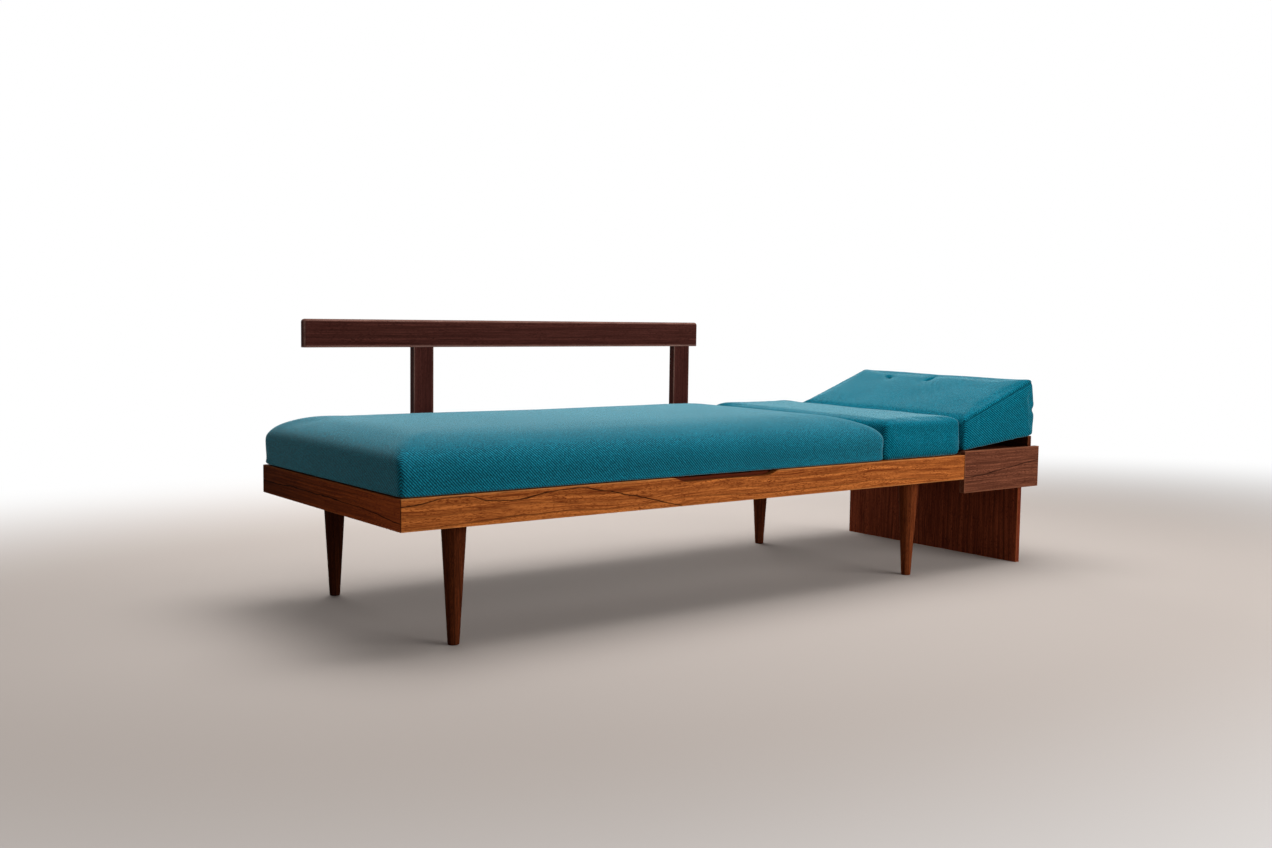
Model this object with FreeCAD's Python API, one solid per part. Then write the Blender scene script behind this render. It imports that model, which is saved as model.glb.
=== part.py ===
import FreeCAD, Part
import math
import os

Vec = FreeCAD.Vector
os.makedirs("parts", exist_ok=True)

# Daybed with a pull-out end table. Millimetres, floor at z = 0, length along X, front towards -Y.
overall_length = 2000.0
frame_length = 1680.0
frame_depth = 710.0
seat_rail_top = 320.0

# Mitred rosewood frame
rail_height = 66.0
rail_thickness = 22.0
board_ease = 1.5
notch_mouth = 320.0
notch_floor = 258.0
notch_depth = 11.0
notch_round = 25.0

# Softwood inside the frame
ledger_thickness = 20.0
ledger_bottom = 286.0
ledger_top = 316.0
housing_depth = 14.0
slat_count = 13
slat_width = 60.0
slat_bottom = 303.0
slat_thickness = 15.0
slat_ease = 2.0
leg_rail_width = 90.0
leg_rail_bottom = 256.0
centre_rail_width = 24.0
centre_rail_height = 40.0
corner_block_leg = 60.0
corner_block_low = 258.0
corner_block_high = 284.0

# Turned legs
leg_end_inset = 152.0
leg_side_inset = 62.5
leg_top_radius = 27.0
leg_foot_radius = 12.5
leg_foot_round = 3.0

# Backrest behind the frame
post_width = 56.0
post_thickness = 22.0
post_shift = 5.0
post_bottom = 256.0
backrest_bottom = 596.0
backrest_top = 665.0
backrest_left = 103.0
backrest_right = 1324.0
backrest_ease = 8.0
tenon_width = 38.0
tenon_thickness = 10.0
tenon_height = 24.0

# End table on its leg panel
table_gap = 1.0
table_depth = 682.0
apron_thickness = 16.0
apron_bottom = 216.0
apron_top = 330.0
table_top_bottom = 302.0
table_top_surface = 324.0
end_board_thickness = 14.0
end_board_inset = 15.0
end_board_bottom = 236.0
end_board_top = 358.0
panel_thickness = 16.0
panel_inset = 50.0
runner_width = 36.0
runner_height = 28.0
runner_spread = 190.0
runner_tail = 27.5
runner_clearance = 1.0
table_travel = 300.0
peg_radius = 5.0
peg_length = 64.0
peg_height = 281.0
peg_margin = 0.5
cleat_side = 22.0
cleat_end_gap = 10.0
panel_cleat_length = 300.0

# Steel fixings
bolt_radius = 4.0
bolt_clearance = 0.2
leg_bolt_in_leg = 44.0
leg_bolt_top = 288.0
tee_flange_radius = 11.0
tee_flange_thickness = 1.6
tee_barrel_radius = 5.0
tee_barrel_length = 10.0
bolt_head_radius = 8.0
bolt_head_thickness = 5.0
counterbore_radius = 9.0
counterbore_depth = 6.0
washer_radius = 8.0
washer_thickness = 1.6
nut_flat_width = 13.0
nut_thickness = 6.5
bolt_end = 3.0
lower_bolt_height = 268.0
upper_bolt_height = 299.0
screw_radius = 2.0
screw_head_radius = 4.0
screw_head_depth = 2.4
screw_play = 0.1

# Loose cushions
soft_gap = 0.4
cover_thickness = 2.5
core_play = 0.5
mattress_length = 1365.0
mattress_start = 3.0
mattress_edge_height = 104.0
middle_length = 306.0
middle_start = 1372.0
middle_edge_height = 94.0
cushion_front_inset = 5.0
cushion_depth = 700.0
wedge_start = 1684.0
wedge_length = 304.0
wedge_depth = 650.0
wedge_low_top = 414.0
wedge_high_top = 528.0

# Cutters run past the faces they open by this much, and points closer than the second value coincide
overrun = 1.0
same_place = 0.01

# Places worked out from the sizes above
x_left = -overall_length / 2
x_right = x_left + frame_length
x_end = overall_length / 2
overall_depth = frame_depth + post_thickness
y_front = -overall_depth / 2
y_back = y_front + frame_depth
y_middle = (y_front + y_back) / 2
y_inner_front = y_front + rail_thickness
y_inner_back = y_back - rail_thickness
rail_bottom = seat_rail_top - rail_height
leg_rail_top = ledger_bottom
leg_columns = (x_left + leg_end_inset, x_right - leg_end_inset)
leg_rows = (y_front + leg_side_inset, y_back - leg_side_inset)
post_columns = (x_left + frame_length / 4 + post_shift, x_left + 3 * frame_length / 4 + post_shift)
runner_rows = (y_middle - runner_spread, y_middle + runner_spread)
runner_top = table_top_bottom
runner_bottom = runner_top - runner_height
table_left = x_right + table_gap
panel_right = x_end - panel_inset
panel_left = panel_right - panel_thickness
end_board_right = x_end - end_board_inset
end_board_left = end_board_right - end_board_thickness
table_back = y_front + table_depth
table_inner_front = y_front + apron_thickness
table_inner_back = table_back - apron_thickness


def save(name, shape):
    shape.exportStep("parts/" + name + ".step")


def block(x0, x1, y0, y1, z0, z1):
    return Part.makeBox(x1 - x0, y1 - y0, z1 - z0, Vec(x0, y0, z0))


def prism(points, rise):
    wire = Part.makePolygon(points + points[:1])
    return Part.Face(wire).extrude(rise)


def rod(radius, start, end):
    way = end - start
    return Part.makeCylinder(radius, way.Length, start, way)


def long_edges(shape, axis):
    """Edges that run along one axis, straight or curved, at one distance across the board."""
    across = 1 - axis
    chosen = []
    for edge in shape.Edges:
        first = edge.Vertexes[0].Point
        last = edge.Vertexes[-1].Point
        if abs(first[across] - last[across]) < same_place and abs(first[axis] - last[axis]) > same_place:
            chosen.append(edge)
    return chosen


def upright_edges(shape):
    chosen = []
    for edge in shape.Edges:
        first = edge.Vertexes[0].Point
        last = edge.Vertexes[-1].Point
        if abs(first.x - last.x) < same_place and abs(first.y - last.y) < same_place:
            chosen.append(edge)
    return chosen


def eased(shape, axis, radius):
    return shape.makeFillet(radius, long_edges(shape, axis))


def wood_screw(start, way, length, play=0.0):
    """Countersunk screw whose head lies flush at start. With play it is the hole for that screw."""
    way = Vec(way).normalize()
    tip = start + way * (length + play)
    shank = rod(screw_radius + play, start, tip)
    head = Part.makeCone(screw_head_radius + play, screw_radius + play, screw_head_depth, start, way)
    return shank.fuse(head)


def bored(shape, screws):
    for start, way, length in screws:
        shape = shape.cut(wood_screw(start, way, length, screw_play))
    return shape


def screw_group(screws):
    return Part.makeCompound([wood_screw(start, way, length) for start, way, length in screws])


# Outer frame: four rosewood rails, mitred at the corners
def mitred_rail(start, end, inward):
    along = (end - start).normalize()
    depth = inward * rail_thickness
    shoulder = along * rail_thickness
    return prism([start, end, end + depth - shoulder, start + depth + shoulder], Vec(0, 0, rail_height))


def finger_notch(rail):
    """Shallow hand notch in the middle of the rail's top edge, with gently sloping ends."""
    middle = (x_left + x_right) / 2
    low = seat_rail_top - notch_depth
    slope = (notch_mouth - notch_floor) / 2 / notch_depth
    mouth = notch_mouth / 2 + slope * overrun
    outline = [
        Vec(middle - mouth, y_front - overrun, seat_rail_top + overrun),
        Vec(middle - notch_floor / 2, y_front - overrun, low),
        Vec(middle + notch_floor / 2, y_front - overrun, low),
        Vec(middle + mouth, y_front - overrun, seat_rail_top + overrun),
    ]
    rail = rail.cut(prism(outline, Vec(0, rail_thickness + 2 * overrun, 0)))
    corners = []
    for edge in rail.Edges:
        first = edge.Vertexes[0].Point
        last = edge.Vertexes[-1].Point
        straight_across = abs(first.x - last.x) < same_place and abs(first.z - last.z) < same_place
        if straight_across and abs(first.x - middle) < notch_mouth / 2 + overrun:
            corners.append(edge)
    return rail.makeFillet(notch_round, corners)


corner_front_left = Vec(x_left, y_front, rail_bottom)
corner_front_right = Vec(x_right, y_front, rail_bottom)
corner_back_right = Vec(x_right, y_back, rail_bottom)
corner_back_left = Vec(x_left, y_back, rail_bottom)
front_rail = finger_notch(mitred_rail(corner_front_left, corner_front_right, Vec(0, 1, 0)))
front_rail = eased(front_rail, 0, board_ease)
back_rail = eased(mitred_rail(corner_back_right, corner_back_left, Vec(0, -1, 0)), 0, board_ease)
left_end_rail = eased(mitred_rail(corner_back_left, corner_front_left, Vec(1, 0, 0)), 1, board_ease)
right_end_rail = eased(mitred_rail(corner_front_right, corner_back_right, Vec(-1, 0, 0)), 1, board_ease)

# The right end rail is mortised for the two table runners
for row in runner_rows:
    right_end_rail = right_end_rail.cut(block(
        x_right - rail_thickness - overrun, x_right + overrun,
        row - runner_width / 2 - runner_clearance, row + runner_width / 2 + runner_clearance,
        runner_bottom - runner_clearance, runner_top + runner_clearance))

# Ledgers: softwood strips along the long rails, housed for the slat ends
slat_pitch = (frame_length - 2 * rail_thickness) / slat_count
slat_places = [x_left + rail_thickness + slat_pitch * (i + 0.5) for i in range(slat_count)]
slat_play = 0.5
front_ledger = block(x_left + rail_thickness, x_right - rail_thickness,
                     y_inner_front, y_inner_front + ledger_thickness, ledger_bottom, ledger_top)
back_ledger = block(x_left + rail_thickness, x_right - rail_thickness,
                    y_inner_back - ledger_thickness, y_inner_back, ledger_bottom, ledger_top)
housing_front = y_inner_front + ledger_thickness - housing_depth
housing_back = y_inner_back - ledger_thickness + housing_depth
for place in slat_places:
    housing = block(place - slat_width / 2 - slat_play, place + slat_width / 2 + slat_play,
                    housing_front, housing_back, slat_bottom, ledger_top + overrun)
    front_ledger = front_ledger.cut(housing)
    back_ledger = back_ledger.cut(housing)

# Ledger screws run sideways into the long rails, midway between slats
ledger_screw_length = 32.0
ledger_screw_height = 300.0
ledger_screws = []
for i in range(0, slat_count - 1, 2):
    place = slat_places[i] + slat_pitch / 2
    for face, way in ((y_inner_front + ledger_thickness, -1), (y_inner_back - ledger_thickness, 1)):
        ledger_screws.append((Vec(place, face, ledger_screw_height), Vec(0, way, 0), ledger_screw_length))

# Cross rails that carry the legs. The right one is notched for the runners
leg_rails = []
for column in leg_columns:
    leg_rails.append(block(column - leg_rail_width / 2, column + leg_rail_width / 2,
                           y_inner_front, y_inner_back, leg_rail_bottom, leg_rail_top))
left_leg_rail, right_leg_rail = leg_rails
for row in runner_rows:
    right_leg_rail = right_leg_rail.cut(block(
        leg_columns[1] - leg_rail_width / 2 - overrun, leg_columns[1] + leg_rail_width / 2 + overrun,
        row - runner_width / 2 - runner_clearance, row + runner_width / 2 + runner_clearance,
        runner_bottom - runner_clearance, leg_rail_top + overrun))

# Screws up through the cross rails into the ledgers
leg_rail_screw_length = 42.0
leg_rail_screw_spread = 30.0
leg_rail_screws = []
for column in leg_columns:
    for side in (-leg_rail_screw_spread, leg_rail_screw_spread):
        for row in (y_inner_front + ledger_thickness / 2, y_inner_back - ledger_thickness / 2):
            start = Vec(column + side, row, leg_rail_bottom)
            leg_rail_screws.append((start, Vec(0, 0, 1), leg_rail_screw_length))

# Centre rail under the middle of the slats, between the two cross rails
centre_rail = block(leg_columns[0] + leg_rail_width / 2, leg_columns[1] - leg_rail_width / 2,
                    y_middle - centre_rail_width / 2, y_middle + centre_rail_width / 2,
                    slat_bottom - centre_rail_height, slat_bottom)

# Slats, each screwed down at both ends
slat_front = housing_front + slat_play
slat_back = housing_back - slat_play
slat_screw_inset = 8.0
slat_screw_length = 26.0
slat_top = slat_bottom + slat_thickness
slat_screws = []
slats = []
for place in slat_places:
    slat = block(place - slat_width / 2, place + slat_width / 2, slat_front, slat_back, slat_bottom, slat_top)
    slat = eased(slat, 1, slat_ease)
    ends = [(Vec(place, row, slat_top), Vec(0, 0, -1), slat_screw_length)
            for row in (slat_front + slat_screw_inset, slat_back - slat_screw_inset)]
    slats.append(bored(slat, ends))
    slat_screws.extend(ends)

# Triangular glue blocks in the frame's corners
corner_blocks = []
for x, way_x in ((x_left + rail_thickness, 1), (x_right - rail_thickness, -1)):
    for y, way_y in ((y_inner_front, 1), (y_inner_back, -1)):
        outline = [Vec(x, y, corner_block_low), Vec(x + way_x * corner_block_leg, y, corner_block_low),
                   Vec(x, y + way_y * corner_block_leg, corner_block_low)]
        corner_blocks.append(prism(outline, Vec(0, 0, corner_block_high - corner_block_low)))

# Turned, tapered legs with a bolt up through the cross rail into a tee nut
foot_corner = leg_foot_round * (1 - math.sqrt(0.5))
foot_centre = Vec(0, 0, 0)
foot_rim = Vec(leg_foot_radius - leg_foot_round, 0, 0)
foot_bend = Vec(leg_foot_radius - foot_corner, 0, foot_corner)
foot_side = Vec(leg_foot_radius, 0, leg_foot_round)
leg_shoulder = Vec(leg_top_radius, 0, leg_rail_bottom)
leg_centre = Vec(0, 0, leg_rail_bottom)
leg_profile = [
    Part.LineSegment(foot_centre, foot_rim).toShape(),
    Part.Arc(foot_rim, foot_bend, foot_side).toShape(),
    Part.LineSegment(foot_side, leg_shoulder).toShape(),
    Part.LineSegment(leg_shoulder, leg_centre).toShape(),
    Part.LineSegment(leg_centre, foot_centre).toShape(),
]
turned_leg = Part.Face(Part.Wire(leg_profile)).revolve(Vec(0, 0, 0), Vec(0, 0, 1), 360)
turned_leg = turned_leg.cut(rod(bolt_radius + bolt_clearance,
                                Vec(0, 0, leg_rail_bottom - leg_bolt_in_leg - overrun),
                                Vec(0, 0, leg_rail_bottom + overrun)))
leg_bolt = rod(bolt_radius, Vec(0, 0, leg_rail_bottom - leg_bolt_in_leg), Vec(0, 0, leg_bolt_top))
tee_flange = rod(tee_flange_radius, Vec(0, 0, leg_rail_top), Vec(0, 0, leg_rail_top + tee_flange_thickness))
tee_barrel = rod(tee_barrel_radius, Vec(0, 0, leg_rail_top - tee_barrel_length), Vec(0, 0, leg_rail_top))
tee_bore = rod(bolt_radius + bolt_clearance / 2,
               Vec(0, 0, leg_rail_bottom), Vec(0, 0, leg_bolt_top + overrun))
tee_nut = tee_flange.fuse(tee_barrel).cut(tee_bore)
bolt_way = rod(bolt_radius + bolt_clearance,
               Vec(0, 0, leg_rail_bottom - overrun), Vec(0, 0, leg_rail_top + overrun))
barrel_way = rod(tee_barrel_radius + screw_play,
                 Vec(0, 0, leg_rail_top - tee_barrel_length - screw_play), Vec(0, 0, leg_rail_top + overrun))
leg_hole = bolt_way.fuse(barrel_way)

leg_places = {
    "leg_front_left": Vec(leg_columns[0], leg_rows[0], 0),
    "leg_front_right": Vec(leg_columns[1], leg_rows[0], 0),
    "leg_back_left": Vec(leg_columns[0], leg_rows[1], 0),
    "leg_back_right": Vec(leg_columns[1], leg_rows[1], 0),
}
leg_bolts = []
leg_tee_nuts = []
for name, place in leg_places.items():
    save(name, turned_leg.translated(place))
    leg_bolts.append(leg_bolt.translated(place))
    leg_tee_nuts.append(tee_nut.translated(place))
    hole = leg_hole.translated(place)
    left_leg_rail = left_leg_rail.cut(hole)
    right_leg_rail = right_leg_rail.cut(hole)

# Backrest: a rail on two posts, stub-tenoned together, bolted behind the frame's back rail
backrest_front = y_back
backrest_rear = y_back + post_thickness
tenon_front = backrest_front + (post_thickness - tenon_thickness) / 2
backrest_rail = block(x_left + backrest_left, x_left + backrest_right,
                      backrest_front, backrest_rear, backrest_bottom, backrest_top)
upper_edges = [edge for edge in backrest_rail.Edges if edge.BoundBox.ZMax > backrest_bottom + overrun]
backrest_rail = backrest_rail.makeFillet(backrest_ease, upper_edges)
under_edges = [edge for edge in backrest_rail.Edges if edge.BoundBox.ZMax < backrest_bottom + overrun]
backrest_rail = backrest_rail.makeFillet(board_ease, under_edges)
backrest_posts = []
post_bolts = []
post_washers = []
post_nuts = []
for column in post_columns:
    post = block(column - post_width / 2, column + post_width / 2,
                 backrest_front, backrest_rear, post_bottom, backrest_bottom)
    post = post.makeFillet(board_ease, upright_edges(post))
    tenon = block(column - tenon_width / 2, column + tenon_width / 2,
                  tenon_front, tenon_front + tenon_thickness, backrest_bottom, backrest_bottom + tenon_height)
    mortise = block(column - tenon_width / 2 - screw_play, column + tenon_width / 2 + screw_play,
                    tenon_front - screw_play, tenon_front + tenon_thickness + screw_play,
                    backrest_bottom, backrest_bottom + tenon_height + overrun)
    backrest_rail = backrest_rail.cut(mortise)
    post = post.fuse(tenon)
    # The upper bolt also passes through the ledger, so it is the longer one
    lower = (lower_bolt_height, y_inner_back)
    upper = (upper_bolt_height, y_inner_back - ledger_thickness)
    for height, inner_face in (lower, upper):
        seat = backrest_rear - counterbore_depth
        mouth = backrest_rear + overrun
        head_back = seat + bolt_head_thickness
        washer_face = inner_face - washer_thickness
        nut_face = washer_face - nut_thickness
        shank = rod(bolt_radius, Vec(column, seat, height), Vec(column, nut_face - bolt_end, height))
        head = rod(bolt_head_radius, Vec(column, seat, height), Vec(column, head_back, height))
        post_bolts.append(shank.fuse(head))
        bore = rod(bolt_radius + bolt_clearance / 2, Vec(column, inner_face + overrun, height),
                   Vec(column, nut_face - overrun, height))
        washer = rod(washer_radius, Vec(column, inner_face, height), Vec(column, washer_face, height))
        post_washers.append(washer.cut(bore))
        nut_corner = nut_flat_width / math.sqrt(3)
        hexagon = [Vec(column + nut_corner * math.cos(math.radians(60 * k)), washer_face,
                       height + nut_corner * math.sin(math.radians(60 * k))) for k in range(6)]
        post_nuts.append(prism(hexagon, Vec(0, -nut_thickness, 0)).cut(bore))
        way = rod(bolt_radius + bolt_clearance, Vec(column, mouth, height),
                  Vec(column, inner_face - ledger_thickness, height))
        sink = rod(counterbore_radius, Vec(column, seat, height), Vec(column, mouth, height))
        post = post.cut(way).cut(sink)
        back_rail = back_rail.cut(way)
        back_ledger = back_ledger.cut(way)
    backrest_posts.append(post)

# Table: two aprons, a top and a raised end board between them, standing on one leg panel
aprons = []
for outer, inner in ((y_front, table_inner_front), (table_inner_back, table_back)):
    apron = block(table_left, x_end, outer, inner, apron_bottom, apron_top)
    aprons.append(eased(apron, 0, board_ease))
table_top = block(table_left, end_board_left, table_inner_front, table_inner_back,
                  table_top_bottom, table_top_surface)
table_end_board = eased(block(end_board_left, end_board_right, table_inner_front, table_inner_back,
                              end_board_bottom, end_board_top), 1, board_ease)
table_leg_panel = block(panel_left, panel_right, table_inner_front, table_inner_back, 0, table_top_bottom)
table_leg_panel = table_leg_panel.makeFillet(board_ease, upright_edges(table_leg_panel))

# Runners under the table reach into the frame. Pegs near their tails stop them at full draw
peg_place = leg_columns[1] - leg_rail_width / 2 - table_travel - peg_margin - peg_radius
runner_end = peg_place - runner_tail
table_runners = []
table_stop_pegs = []
runner_screw_length = 40.0
runner_screw_inset = 50.0
runner_screw_places = (table_left + runner_screw_inset, panel_left - runner_screw_inset)
table_screws = []
for row in runner_rows:
    runner = block(runner_end, panel_left, row - runner_width / 2, row + runner_width / 2,
                   runner_bottom, runner_top)
    peg_start = Vec(peg_place, row - peg_length / 2, peg_height)
    peg_stop = Vec(peg_place, row + peg_length / 2, peg_height)
    runner = runner.cut(rod(peg_radius + screw_play, peg_start, peg_stop))
    table_stop_pegs.append(rod(peg_radius, peg_start, peg_stop))
    screws = [(Vec(place, row, runner_bottom), Vec(0, 0, 1), runner_screw_length)
              for place in runner_screw_places]
    table_runners.append(bored(runner, screws))
    table_screws.extend(screws)

# Cleats tie the aprons and the leg panel to the underside of the top
cleat_bottom = table_top_bottom - cleat_side
cleat_left = table_left + cleat_end_gap
cleat_right = panel_left - cleat_end_gap
table_cleats = [
    block(panel_left - cleat_side, panel_left, y_middle - panel_cleat_length / 2,
          y_middle + panel_cleat_length / 2, cleat_bottom, table_top_bottom),
]
for front in (table_inner_front, table_inner_back - cleat_side):
    table_cleats.append(block(cleat_left, cleat_right, front, front + cleat_side,
                              cleat_bottom, table_top_bottom))
cleat_screw_length = 34.0
cleat_screw_inset = 50.0
cleat_screws = []
for row in (table_inner_front + cleat_side / 2, table_inner_back - cleat_side / 2):
    for place in (cleat_left + cleat_screw_inset, cleat_right - cleat_screw_inset):
        cleat_screws.append((Vec(place, row, cleat_bottom), Vec(0, 0, 1), cleat_screw_length))
for row in (y_middle - panel_cleat_length / 3, y_middle + panel_cleat_length / 3):
    start = Vec(panel_left - cleat_side / 2, row, cleat_bottom)
    cleat_screws.append((start, Vec(0, 0, 1), cleat_screw_length))
table_cleats = [bored(cleat, cleat_screws) for cleat in table_cleats]
table_screws.extend(cleat_screws)
table_top = bored(table_top, table_screws)


# Cushions: foam cores in sewn wool covers, crowned on top and drawn in along their sides
def rounded_outline(corners, radii, bows):
    """Closed outline through four corners, each rounded, with every side bowed outwards by its own amount."""
    count = len(corners)
    entries = []
    exits = []
    middles = []
    for i in range(count):
        corner = corners[i]
        before = (corners[i - 1] - corner).normalize()
        after = (corners[(i + 1) % count] - corner).normalize()
        half = before.getAngle(after) / 2
        bisector = (before + after).normalize()
        reach = radii[i] / math.tan(half)
        centre = corner + bisector * (radii[i] / math.sin(half))
        entries.append(corner + before * reach)
        exits.append(corner + after * reach)
        middles.append(centre - bisector * radii[i])
    centroid = (corners[0] + corners[1] + corners[2] + corners[3]) * 0.25
    edges = []
    for i in range(count):
        edges.append(Part.Arc(entries[i], middles[i], exits[i]).toShape())
        start = exits[i]
        end = entries[(i + 1) % count]
        if bows[i] == 0:
            edges.append(Part.LineSegment(start, end).toShape())
            continue
        middle = (start + end) * 0.5
        side = (end - start).normalize()
        outward = (middle - centroid) - side * side.dot(middle - centroid)
        edges.append(Part.Arc(start, middle + outward.normalize() * bows[i], end).toShape())
    return Part.Wire(edges)


end_roll = 26.0
end_roll_angles = (30, 52, 72, 90)
bottom_share = 0.25


def end_stations(shrink):
    """Distance from a cushion's end and how far its outline is drawn in there, round a rolled edge."""
    roll = end_roll - shrink
    first = roll * (1 - math.cos(math.radians(end_roll_angles[0])))
    return [(roll * (1 - math.cos(math.radians(a))) - first, roll * (1 - math.sin(math.radians(a))))
            for a in end_roll_angles]


def cushion_form(spec, shrink):
    """Loft of a cushion along its length. Shrink makes the same form smaller all round, for the core."""
    start = spec["start"] + shrink
    stop = spec["stop"] - shrink
    half = (stop - start) / 2
    ends = end_stations(shrink)
    stations = [(start + way, inset) for way, inset in ends]
    stations += [(start + half * share, 0.0) for share in (0.5, 1.0, 1.5)]
    stations += [(stop - way, inset) for way, inset in reversed(ends)]
    radii = [radius - shrink / 2 for radius in spec["radii"]]
    wires = []
    for place, inset in stations:
        fullness = 1 - ((place - start) / half - 1) ** 2
        sides = inset + shrink + spec["draw_in"] * fullness
        lift = spec["crown"] * fullness - inset - shrink
        base = inset * bottom_share + shrink
        low_left, low_right, high_right, high_left = spec["corners"]
        corners = [
            spec["point"](low_left[0] + sides, low_left[1] + base, place),
            spec["point"](low_right[0] - sides, low_right[1] + base, place),
            spec["point"](high_right[0] - sides, high_right[1] + lift, place),
            spec["point"](high_left[0] + sides, high_left[1] + lift, place),
        ]
        wires.append(rounded_outline(corners, radii, spec["bows"]))
    return Part.makeLoft(wires, True, True)


def along_x(across, height, place):
    return Vec(place, across, height)


def along_y(across, height, place):
    return Vec(across, place, height)


cushion_front = y_front + cushion_front_inset
cushion_back = cushion_front + cushion_depth
side_bow = 4.0
cushion_seat = seat_rail_top + soft_gap
wedge_left = x_left + wedge_start + side_bow
wedge_right = x_left + wedge_start + wedge_length - side_bow
wedge_low = apron_top + soft_gap
wedge_slope = (end_board_top - apron_top) / (end_board_left - wedge_left)
wedge_high = wedge_low + wedge_slope * (wedge_right - wedge_left)

mattress = {
    "point": along_x,
    "start": x_left + mattress_start,
    "stop": x_left + mattress_start + mattress_length,
    "corners": [
        (cushion_front + side_bow, cushion_seat),
        (cushion_back - side_bow, cushion_seat),
        (cushion_back - side_bow, cushion_seat + mattress_edge_height),
        (cushion_front + side_bow, cushion_seat + mattress_edge_height),
    ],
    "radii": [12.0, 12.0, 34.0, 34.0],
    "bows": [0.0, side_bow, 12.0, side_bow],
    "draw_in": 3.0,
    "crown": 5.0,
}
middle_cushion = {
    "point": along_y,
    "start": cushion_front,
    "stop": cushion_back,
    "corners": [
        (x_left + middle_start + side_bow, cushion_seat),
        (x_left + middle_start + middle_length - side_bow, cushion_seat),
        (x_left + middle_start + middle_length - side_bow, cushion_seat + middle_edge_height),
        (x_left + middle_start + side_bow, cushion_seat + middle_edge_height),
    ],
    "radii": [12.0, 12.0, 30.0, 30.0],
    "bows": [0.0, side_bow, 6.0, side_bow],
    "draw_in": 2.0,
    "crown": 5.0,
}
head_wedge = {
    "point": along_y,
    "start": cushion_front,
    "stop": cushion_front + wedge_depth,
    "corners": [
        (wedge_left, wedge_low),
        (wedge_right, wedge_high),
        (wedge_right, wedge_high_top),
        (wedge_left, wedge_low_top),
    ],
    "radii": [10.0, 12.0, 26.0, 18.0],
    "bows": [0.0, side_bow, 7.0, side_bow],
    "draw_in": 2.0,
    "crown": 4.0,
}
for name, spec in (("mattress", mattress), ("middle_cushion", middle_cushion), ("head_wedge", head_wedge)):
    save(name + "_cover", cushion_form(spec, 0.0).cut(cushion_form(spec, cover_thickness)))
    save(name + "_core", cushion_form(spec, cover_thickness + core_play))

# Screw holes through the pieces that share screws
front_rail = bored(front_rail, ledger_screws)
back_rail = bored(back_rail, ledger_screws)
front_ledger = bored(front_ledger, ledger_screws + leg_rail_screws + slat_screws)
back_ledger = bored(back_ledger, ledger_screws + leg_rail_screws + slat_screws)
left_leg_rail = bored(left_leg_rail, leg_rail_screws)
right_leg_rail = bored(right_leg_rail, leg_rail_screws)

save("front_rail", front_rail)
save("back_rail", back_rail)
save("left_end_rail", left_end_rail)
save("right_end_rail", right_end_rail)
save("front_ledger", front_ledger)
save("back_ledger", back_ledger)
save("left_leg_rail", left_leg_rail)
save("right_leg_rail", right_leg_rail)
save("centre_rail", centre_rail)
save("corner_blocks", Part.makeCompound(corner_blocks))
for number, slat in enumerate(slats, start=1):
    save("slat_%02d" % number, slat)
save("leg_bolts", Part.makeCompound(leg_bolts))
save("leg_tee_nuts", Part.makeCompound(leg_tee_nuts))
save("ledger_screws", screw_group(ledger_screws))
save("leg_rail_screws", screw_group(leg_rail_screws))
save("slat_screws", screw_group(slat_screws))
save("backrest_rail", backrest_rail)
save("backrest_post_left", backrest_posts[0])
save("backrest_post_right", backrest_posts[1])
save("post_bolts", Part.makeCompound(post_bolts))
save("post_washers", Part.makeCompound(post_washers))
save("post_nuts", Part.makeCompound(post_nuts))
save("table_front_apron", aprons[0])
save("table_back_apron", aprons[1])
save("table_top", table_top)
save("table_end_board", table_end_board)
save("table_leg_panel", table_leg_panel)
save("table_runner_front", table_runners[0])
save("table_runner_back", table_runners[1])
save("table_stop_pegs", Part.makeCompound(table_stop_pegs))
save("table_cleats", Part.makeCompound(table_cleats))
save("table_screws", screw_group(table_screws))
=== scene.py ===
import bpy
import math
import numpy as np
from mathutils import Matrix, Vector, noise


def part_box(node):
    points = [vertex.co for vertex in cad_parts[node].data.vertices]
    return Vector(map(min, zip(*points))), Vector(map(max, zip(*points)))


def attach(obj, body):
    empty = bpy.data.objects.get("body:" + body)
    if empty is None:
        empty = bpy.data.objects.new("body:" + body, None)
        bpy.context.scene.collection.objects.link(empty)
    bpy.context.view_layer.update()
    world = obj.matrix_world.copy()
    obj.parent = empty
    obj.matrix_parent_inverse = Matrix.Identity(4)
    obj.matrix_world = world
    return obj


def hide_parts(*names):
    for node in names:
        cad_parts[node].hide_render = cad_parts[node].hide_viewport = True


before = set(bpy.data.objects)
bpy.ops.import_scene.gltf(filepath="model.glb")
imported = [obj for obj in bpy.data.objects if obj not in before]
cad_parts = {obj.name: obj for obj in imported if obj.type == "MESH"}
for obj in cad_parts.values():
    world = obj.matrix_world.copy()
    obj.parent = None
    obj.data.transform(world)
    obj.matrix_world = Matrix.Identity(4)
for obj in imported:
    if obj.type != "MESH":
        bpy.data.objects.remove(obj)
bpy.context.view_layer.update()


# Outer frame: four rosewood boards mitred at the corners, glued and oiled to a satin finish.
# They come from different planks: the front is orange brown with black veins, the end rails
# are darker, the left one also painted darker towards its far end as painted shade, and the front
# board has a shallow finger notch in its top edge.
mm = 0.001


def linear(colour):
    """An sRGB hex colour as linear red, green, blue and alpha."""
    channels = [int(colour[i:i + 2], 16) / 255 for i in (1, 3, 5)]
    return [c / 12.92 if c <= 0.04045 else ((c + 0.055) / 1.055) ** 2.4 for c in channels] + [1.0]


def add_node(tree, kind, settings, inputs):
    """Adds a node. Each input is set to a value, or linked where a socket is given."""
    node = tree.nodes.new(kind)
    for name, value in settings.items():
        setattr(node, name, value)
    for name, value in inputs.items():
        if isinstance(value, bpy.types.NodeSocket):
            tree.links.new(value, node.inputs[name])
        else:
            node.inputs[name].default_value = value
    return node


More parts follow.
